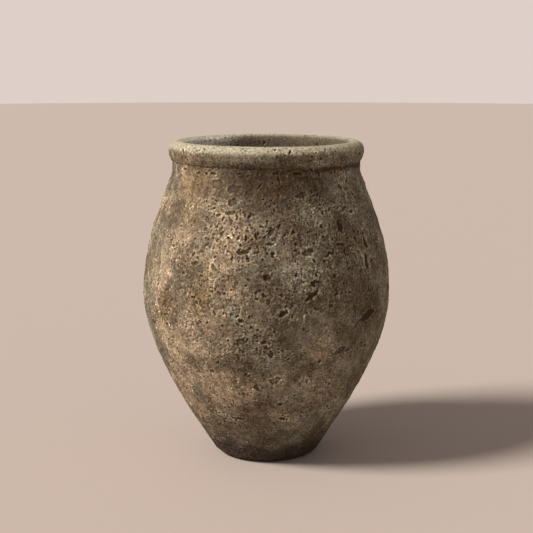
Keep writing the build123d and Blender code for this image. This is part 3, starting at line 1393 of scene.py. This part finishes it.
@dataclass
class ClayPiece:
    """One piece of clay: a stretch or two of the skin, closed with joint faces and spun round the axis.

    The profile's points are a radius, a height and the distance along the skin, which is OFF_SKIN on a joint
    face. The gaps say how far apart the points are outside and inside, and the steps how many go round.
    """

    node: str
    skin: Skin
    crust: Crust
    finish: ClayFinish
    steps: int = 960
    outer_gap: float = 1.2 * MM
    inner_gap: float = 5.0 * MM
    profile: list = field(default_factory=list)
    ends: list = field(default_factory=list)

    OFF_SKIN = -1.0
    KEY_POINTS = 7
    SAME_ROW = 0.01 * MM
    DOUBLINGS = 4
    SEAM = 0.005 * MM
    MAP_NAME = "OFBake"
    STRIPS = 3
    MARGIN = 0.006
    MOUTH_DEPTH = 40 * MM

    def skin_stretch(self, start: float, end: float, gap: float) -> None:
        """Adds a stretch of skin to the profile.

        Args:
            start: Where it starts, as distance along the skin.
            end: Where it ends.
            gap: About how far apart its points are.
        """
        self.ends += [start, end]
        for arc in np.linspace(start, end, max(2, round(abs(end - start) / gap) + 1)):
            radius, height = self.skin.point(np.array(arc))
            self.profile.append((float(radius), float(height), float(arc)))

    def joint_face(self, height: float, inwards: bool, keyed: bool) -> None:
        """Adds a joint face to the profile, with the lute joint's rounded key half way through the wall.

        Args:
            height: The joint's height, in metres.
            inwards: Goes from the outside of the wall to the inside.
            keyed: Has a key.
        """
        if not keyed:
            return
        shape = self.skin.shape
        ends = [self.skin.point(np.array(self.skin.at_height(height, side)))[0] for side in Wall]
        middle, half = sum(ends) / 2, shape.key_width / 2
        turns = np.linspace(0, math.pi, self.KEY_POINTS)
        for turn in turns if inwards else turns[::-1]:
            rise = shape.key_height * math.sin(turn)
            self.profile.append((float(middle + half * math.cos(turn)), height + rise, self.OFF_SKIN))

    def spin(self) -> bpy.types.Object:
        """Spins the profile round the jar's axis, presses the crust into it and dresses it.

        Returns:
            The finished piece.
        """
        form = bmesh.new()
        arc_layer = form.verts.layers.float.new("arc")
        row_layer = form.verts.layers.float.new("row")
        corners = []
        for row, (radius, height, arc) in enumerate(self.profile):
            corner = form.verts.new((radius, 0, height))
            corner[arc_layer], corner[row_layer] = arc, row
            corners.append(corner)
        edges = [form.edges.new(pair) for pair in zip(corners, corners[1:] + corners[:1])]
        sector = 2 * math.pi / 2**self.DOUBLINGS
        bmesh.ops.spin(form, geom=corners + edges, cent=(0, 0, 0), axis=(0, 0, 1), dvec=(0, 0, 0),
                       angle=sector, steps=self.steps // 2**self.DOUBLINGS, use_duplicate=False)
        for doubling in range(self.DOUBLINGS):
            whole = form.verts[:] + form.edges[:] + form.faces[:]
            copy = bmesh.ops.duplicate(form, geom=whole)["geom"]
            copied = [part for part in copy if isinstance(part, bmesh.types.BMVert)]
            turn = Matrix.Rotation(sector * 2**doubling, 3, "Z")
            bmesh.ops.rotate(form, verts=copied, cent=(0, 0, 0), matrix=turn)
        bmesh.ops.remove_doubles(form, verts=form.verts, dist=self.SEAM)
        bmesh.ops.recalc_face_normals(form, faces=form.faces)
        mesh = bpy.data.meshes.new(self.node)
        form.to_mesh(mesh)
        form.free()
        self._press_crust(mesh)
        piece = bpy.data.objects.new("clay_" + self.node, mesh)
        bpy.context.scene.collection.objects.link(piece)
        mesh.materials.append(self.finish.make())
        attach(piece, "root")
        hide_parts(self.node)
        return piece

    def _values(self, mesh: bpy.types.Mesh, name: str) -> np.ndarray:
        """Reads one attribute of the mesh's points.

        Args:
            mesh: The spun mesh.
            name: The attribute's name.

        Returns:
            The values.
        """
        values = np.zeros(len(mesh.vertices), np.float32)
        mesh.attributes[name].data.foreach_get("value", values)
        return values

    def _places(self, mesh: bpy.types.Mesh) -> np.ndarray:
        """Reads where the mesh's points are.

        Args:
            mesh: The spun mesh.

        Returns:
            The places, one to a row, in metres.
        """
        places = np.zeros(len(mesh.vertices) * 3, np.float32)
        mesh.vertices.foreach_get("co", places)
        return places.reshape(-1, 3)

    def _columns(self, places: np.ndarray) -> np.ndarray:
        """Counts how many steps round the axis each place is."""
        return np.round(np.arctan2(places[:, 1], places[:, 0]) / (2 * math.pi / self.steps))

    def _press_crust(self, mesh: bpy.types.Mesh) -> None:
        """Moves the skin in and out by the crust, and stores what the finish reads.

        Args:
            mesh: The spun mesh, whose arc attribute says where on the skin each point is.
        """
        arc, places = self._values(mesh, "arc"), self._places(mesh).astype(np.float64)
        on_skin = arc > self.OFF_SKIN / 2
        angle = self._columns(places) * 2 * math.pi / self.steps
        ring = np.stack([np.hypot(places[:, 0], places[:, 1]), places[:, 2]], axis=-1)
        ring = np.where(on_skin[:, None], self.skin.point(arc), ring)
        height = np.where(on_skin, self.crust.read("height", np.maximum(arc, 0), angle), 0)
        ring += self.skin.normal(np.maximum(arc, 0)) * height[:, None]
        places = np.stack([ring[:, 0] * np.cos(angle), ring[:, 0] * np.sin(angle), ring[:, 1]], axis=-1)
        places[:, 2] = np.maximum(places[:, 2], 0)
        mesh.vertices.foreach_set("co", places.astype(np.float32).ravel())
        marks = {"inside": np.interp(arc, self.crust.arc, self.crust.inside)}
        for name in ("relief", "pit", "rough"):
            marks[name] = np.where(on_skin, self.crust.read(name, np.maximum(arc, 0), angle), 0)
        for name, values in marks.items():
            layer = mesh.attributes.new(name, "FLOAT", "POINT")
            layer.data.foreach_set("value", values.astype(np.float32))
        mesh.polygons.foreach_set("use_smooth", np.ones(len(mesh.polygons), bool))
        self._crease_joints(mesh, on_skin)
        self._lay_map(mesh)
        mesh.update()

    def _crease_joints(self, mesh: bpy.types.Mesh, on_skin: np.ndarray) -> None:
        """Shades the joint faces apart from the skin, so that no course shows a line at its ends.

        Args:
            mesh: The spun mesh.
            on_skin: Which of its points are on the skin.
        """
        arc = self._values(mesh, "arc")
        ends = [end for end in self.ends if 0 < end < self.skin.length]
        corner = np.any([np.abs(arc - end) < self.SAME_ROW for end in ends], axis=0) & on_skin
        pairs = np.zeros(len(mesh.edges) * 2, np.int32)
        mesh.edges.foreach_get("vertices", pairs)
        pairs = pairs.reshape(-1, 2)
        same = np.abs(arc[pairs[:, 0]] - arc[pairs[:, 1]]) < self.SAME_ROW
        sharp = corner[pairs].all(axis=1) & same
        layer = mesh.attributes.new("sharp_edge", "BOOLEAN", "EDGE")
        layer.data.foreach_set("value", sharp)

    def _lay_map(self, mesh: bpy.types.Mesh) -> None:
        """Lays the piece out flat in strips, each a part of the way round, one above the other.

        The outside gets most of each strip's height, and the joint faces the least.

        Args:
            mesh: The spun mesh.
        """
        rows, columns = self._values(mesh, "row"), self._columns(self._places(mesh)) % self.steps
        loops = np.zeros(len(mesh.loops), np.int32)
        mesh.loops.foreach_get("vertex_index", loops)
        row, column = (self._unwrapped(values[loops].reshape(-1, 4), count)
                       for values, count in ((rows, len(self.profile)), (columns, self.steps)))
        strip_width = self.steps // self.STRIPS
        strip = column.min(axis=1, keepdims=True) // strip_width
        across = column / strip_width - strip
        up = np.interp(row, np.arange(len(self.profile) + 1), self._map_heights())
        u, v = (self.MARGIN + share * (1 - 2 * self.MARGIN) for share in (across, up))
        uv = np.stack([u, (strip + v) / self.STRIPS], axis=-1)
        layer = mesh.uv_layers.new(name=self.MAP_NAME)
        layer.data.foreach_set("uv", uv.astype(np.float32).ravel())

    def _unwrapped(self, values: np.ndarray, count: int) -> np.ndarray:
        """Counts on past the last row or column instead of starting again at 0, in the faces that close up.

        Args:
            values: Each face's four rows or columns.
            count: How many there are.

        Returns:
            The values, with count in place of 0 in those faces.
        """
        closing = (values == count - 1).any(axis=1, keepdims=True) & (values == 0)
        return np.where(closing, count, values)

    def _map_heights(self) -> np.ndarray:
        """Works out how far up its strip each row of the profile is.

        Returns:
            The heights, from 0 to 1.
        """
        line = np.array(self.profile + self.profile[:1])
        length = np.hypot(*np.diff(line[:, :2], axis=0).T)
        on_skin = (line[:-1, 2] >= 0) & (line[1:, 2] >= 0)
        outer = on_skin & (line[:-1, 2] < self.skin.crown_arc + self.MOUTH_DEPTH)
        weight = np.where(outer, 1.0, np.where(on_skin, 0.4, 0.15))
        heights = np.concatenate([[0], np.cumsum(length * weight)])
        return heights / heights[-1]


class CoilPiece(ClayPiece):
    """The coil pressed into the inside corner: a concave fillet with finger marks."""

    BEND = 25.0 * MM
    TOE = 1.5 * MM
    FINGER_MARKS = 46
    MARK_DEPTH = 0.5 * MM
    UNMARKED = 3 * MM
    FACE_POINTS = 14

    def draw(self) -> None:
        """Draws the coil's section, from its toe on the floor, under itself and up the wall."""
        lean = math.radians(self.skin.shape.cone_lean)
        corner = Vector(self.skin.corner)
        reach = self.BEND * math.tan((math.pi / 2 - lean) / 2)
        up_wall = Vector((math.sin(lean), math.cos(lean)))
        into_jar = Vector((-math.cos(lean), math.sin(lean)))
        floor_toe, wall_toe = corner - Vector((reach, 0)), corner + up_wall * reach
        floor_top, wall_top = floor_toe + Vector((0, self.TOE)), wall_toe + into_jar * self.TOE
        centre = floor_top + Vector((0, self.BEND))
        turns = np.linspace(-math.pi / 2, -lean, self.FACE_POINTS)[1:-1]
        face = [centre + self.BEND * Vector((math.cos(turn), math.sin(turn))) for turn in turns]
        line = [floor_top, floor_toe, corner, wall_toe, wall_top, *face[::-1]]
        self.profile = [(point.x, point.y, self.OFF_SKIN) for point in line]

    def _press_crust(self, mesh: bpy.types.Mesh) -> None:
        """Presses finger marks into the coil's open face.

        Args:
            mesh: The spun mesh.
        """
        super()._press_crust(mesh)
        corner = Vector(self.skin.corner)
        for point in mesh.vertices:
            place = point.co
            radius, turn = math.hypot(place.x, place.y), math.atan2(place.y, place.x)
            out = Vector((corner.x - radius, corner.y - place.z))
            if out.length < self.UNMARKED or radius > corner.x:
                continue
            mark = self.MARK_DEPTH * (0.5 + 0.5 * math.sin(turn * self.FINGER_MARKS))
            move = out.normalized() * mark
            point.co = Vector((place.x + move.x * math.cos(turn), place.y + move.x * math.sin(turn),
                               place.z + move.y))
        mesh.attributes["inside"].data.foreach_set("value", np.ones(len(mesh.vertices), np.float32))


class Jar:
    """The whole jar, from the foot up."""

    COURSES = ("foot_course", "lower_course", "lower_belly_course", "upper_belly_course",
               "shoulder_course", "neck_course")
    NECK_INNER_GAP = 3.5 * MM
    RIM_GAP = 1.1 * MM
    FLOOR_GAP = 3.0 * MM
    FOOT_START = 0.05 * MM

    def __init__(self, shape: JarShape) -> None:
        """Draws the skin and grows the crust.

        Args:
            shape: The jar's sizes.
        """
        self.shape = shape
        self.skin = Skin(shape)
        self.crust = Crust(self.skin, columns=ClayPiece.steps, seed=11)
        self.wall_clay = ClayFinish("pitted_clay", "pitted_clay", self.skin)
        self.rim_clay = ClayFinish("worn_rim_clay", "worn_rim", self.skin)
        self.foot_clay = ClayFinish("stained_foot_clay", "stained_foot", self.skin)
        self.inside_clay = ClayFinish("inside_clay", "inside_clay", self.skin)

    def _piece(self, node: str, finish: ClayFinish, kind: type = ClayPiece, **sizes: float) -> ClayPiece:
        """Starts a piece of clay of this kind, with any sizes of its own."""
        return kind(node, self.skin, self.crust, finish, **sizes)

    def base_slab(self) -> bpy.types.Object:
        """Makes the slab that the jar stands on, with its drain hole.

        Returns:
            The slab.
        """
        shape, skin = self.shape, self.skin
        piece = self._piece("base_slab", self.foot_clay)
        hole_end = shape.floor + 2 * shape.drain_edge
        foot_start = skin.at_height(self.FOOT_START, Wall.OUTER)
        piece.skin_stretch(0, hole_end, piece.outer_gap)
        piece.skin_stretch(hole_end + self.FLOOR_GAP, foot_start - self.FLOOR_GAP, self.FLOOR_GAP)
        piece.skin_stretch(foot_start, skin.at_height(shape.floor, Wall.OUTER), piece.outer_gap)
        floor_end = skin.length - hole_end / 2
        piece.skin_stretch(skin.corner_arc, floor_end - self.FLOOR_GAP, self.FLOOR_GAP)
        piece.skin_stretch(floor_end, skin.length, piece.outer_gap)
        piece.profile.pop()
        return piece.spin()

    def corner_coil(self) -> bpy.types.Object:
        """Makes the coil in the inside corner.

        Returns:
            The coil.
        """
        piece = self._piece("corner_coil", self.inside_clay, CoilPiece)
        piece.draw()
        return piece.spin()

    def course(self, number: int) -> bpy.types.Object:
        """Makes one wall course.

        Args:
            number: Which course, from 0 at the foot.

        Returns:
            The course.
        """
        node, skin = self.COURSES[number], self.skin
        above = (*self.COURSES, "rim_roll")[number + 1]
        low, high = (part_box(name)[0].z for name in (node, above))
        piece = self._piece(node, self.wall_clay)
        inner_gap = self.NECK_INNER_GAP if above == "rim_roll" else piece.inner_gap
        outer_low, outer_high = (skin.at_height(height, Wall.OUTER) for height in (low, high))
        inner_low, inner_high = (skin.at_height(height, Wall.INNER) for height in (low, high))
        piece.skin_stretch(outer_low, outer_high, piece.outer_gap)
        piece.joint_face(high, inwards=True, keyed=True)
        piece.skin_stretch(inner_high, inner_low, inner_gap)
        piece.joint_face(low, inwards=False, keyed=number > 0)
        return piece.spin()

    def rim_roll(self) -> bpy.types.Object:
        """Makes the rolled rim with its throat.

        Returns:
            The rim.
        """
        skin = self.skin
        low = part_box("rim_roll")[0].z
        piece = self._piece("rim_roll", self.rim_clay)
        piece.skin_stretch(skin.at_height(low, Wall.OUTER), skin.at_height(low, Wall.INNER), self.RIM_GAP)
        piece.joint_face(low, inwards=False, keyed=True)
        return piece.spin()

    def build(self) -> None:
        """Makes every piece in order and reports it."""
        pieces = [self.base_slab(), self.corner_coil()]
        pieces += [self.course(number) for number in range(len(self.COURSES))]
        pieces.append(self.rim_roll())
        for piece in pieces:
            triangles = sum(len(face.vertices) - 2 for face in piece.data.polygons)
            LOG.info("%s: %d triangles", piece.name, triangles)


# ---------------------------------------------------------------------------------------------------------
# The studio
# ---------------------------------------------------------------------------------------------------------


@dataclass(frozen=True)
class SoftSun:
    """A broad distant light. Angles are in degrees, and the spread is how wide it looks from the jar."""

    name: str
    azimuth: float
    elevation: float
    spread: float
    strength: float
    colour: Colour
    distance: float = 3.0

    def hang(self) -> None:
        """Hangs the light."""
        lamp = bpy.data.lights.new(self.name, "SUN")
        lamp.angle = math.radians(self.spread)
        lamp.energy = self.strength
        lamp.color = self.colour
        across, up = math.radians(self.azimuth), math.radians(self.elevation)
        way = Vector((math.sin(across) * math.cos(up), -math.cos(across) * math.cos(up), math.sin(up)))
        light = bpy.data.objects.new(self.name, lamp)
        light.location = way * self.distance
        light.rotation_euler = way.to_track_quat("Z", "Y").to_euler()
        bpy.context.scene.collection.objects.link(light)


@dataclass(frozen=True)
class Studio:
    """A plain pale floor, soft light and the camera."""

    floor_radius: float = 12.0
    floor_colour: tuple = (0.47, 0.385, 0.335, 1.0)
    horizon_colour: Colour = (0.73, 0.63, 0.58)
    zenith_colour: Colour = (0.30, 0.28, 0.27)
    zenith_from: float = 0.6
    key: SoftSun = SoftSun("key", -70.0, 42.0, 16.0, 4.4, (1.0, 0.97, 0.93))
    camera_place: tuple = (0.0, -1.958, 0.636)
    camera_pitch: float = 9.94
    lens: float = 86.2

    def floor(self) -> None:
        """Lays the floor."""
        form = bmesh.new()
        bmesh.ops.create_circle(form, cap_ends=True, radius=self.floor_radius, segments=96)
        mesh = bpy.data.meshes.new("floor")
        form.to_mesh(mesh)
        form.free()
        floor = bpy.data.objects.new("floor", mesh)
        bpy.context.scene.collection.objects.link(floor)
        bench = Bench("floor_plaster")
        bench.shader.inputs["Base Color"].default_value = self.floor_colour
        bench.shader.inputs["Roughness"].default_value = 0.9
        mesh.materials.append(bench.material)

    def sky(self) -> None:
        """Sets the soft light from all round, palest at the horizon."""
        world = bpy.data.worlds.new("studio")
        world.use_nodes = True
        tree = world.node_tree
        axes = tree.nodes.new("ShaderNodeSeparateXYZ")
        tree.links.new(tree.nodes.new("ShaderNodeTexCoord").outputs["Generated"], axes.inputs[0])
        rise = tree.nodes.new("ShaderNodeMapRange")
        rise.interpolation_type = "SMOOTHSTEP"
        rise.inputs["From Max"].default_value = self.zenith_from
        tree.links.new(axes.outputs["Z"], rise.inputs["Value"])
        mix = tree.nodes.new("ShaderNodeMix")
        mix.data_type = "RGBA"
        tree.links.new(rise.outputs["Result"], mix.inputs["Factor"])
        mix.inputs[6].default_value = (*self.horizon_colour, 1.0)
        mix.inputs[7].default_value = (*self.zenith_colour, 1.0)
        tree.links.new(mix.outputs[2], tree.nodes["Background"].inputs["Color"])
        bpy.context.scene.world = world

    def camera(self) -> None:
        """Stands the camera in front of the jar, looking slightly down."""
        camera = bpy.data.objects.new("camera", bpy.data.cameras.new("camera"))
        camera.data.lens = self.lens
        camera.location = self.camera_place
        camera.rotation_euler = (math.radians(90 - self.camera_pitch), 0, 0)
        bpy.context.scene.collection.objects.link(camera)
        bpy.context.scene.camera = camera

    def set_up(self) -> None:
        """Lays the floor, hangs the light and stands the camera."""
        bpy.context.scene.view_settings.view_transform = "Standard"
        self.floor()
        self.sky()
        self.key.hang()
        self.camera()


def main() -> None:
    """Builds the jar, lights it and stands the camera."""
    logging.basicConfig(level=logging.INFO, format="%(message)s")
    Jar(JarShape()).build()
    Studio().set_up()


if __name__ == "__main__":
    main()
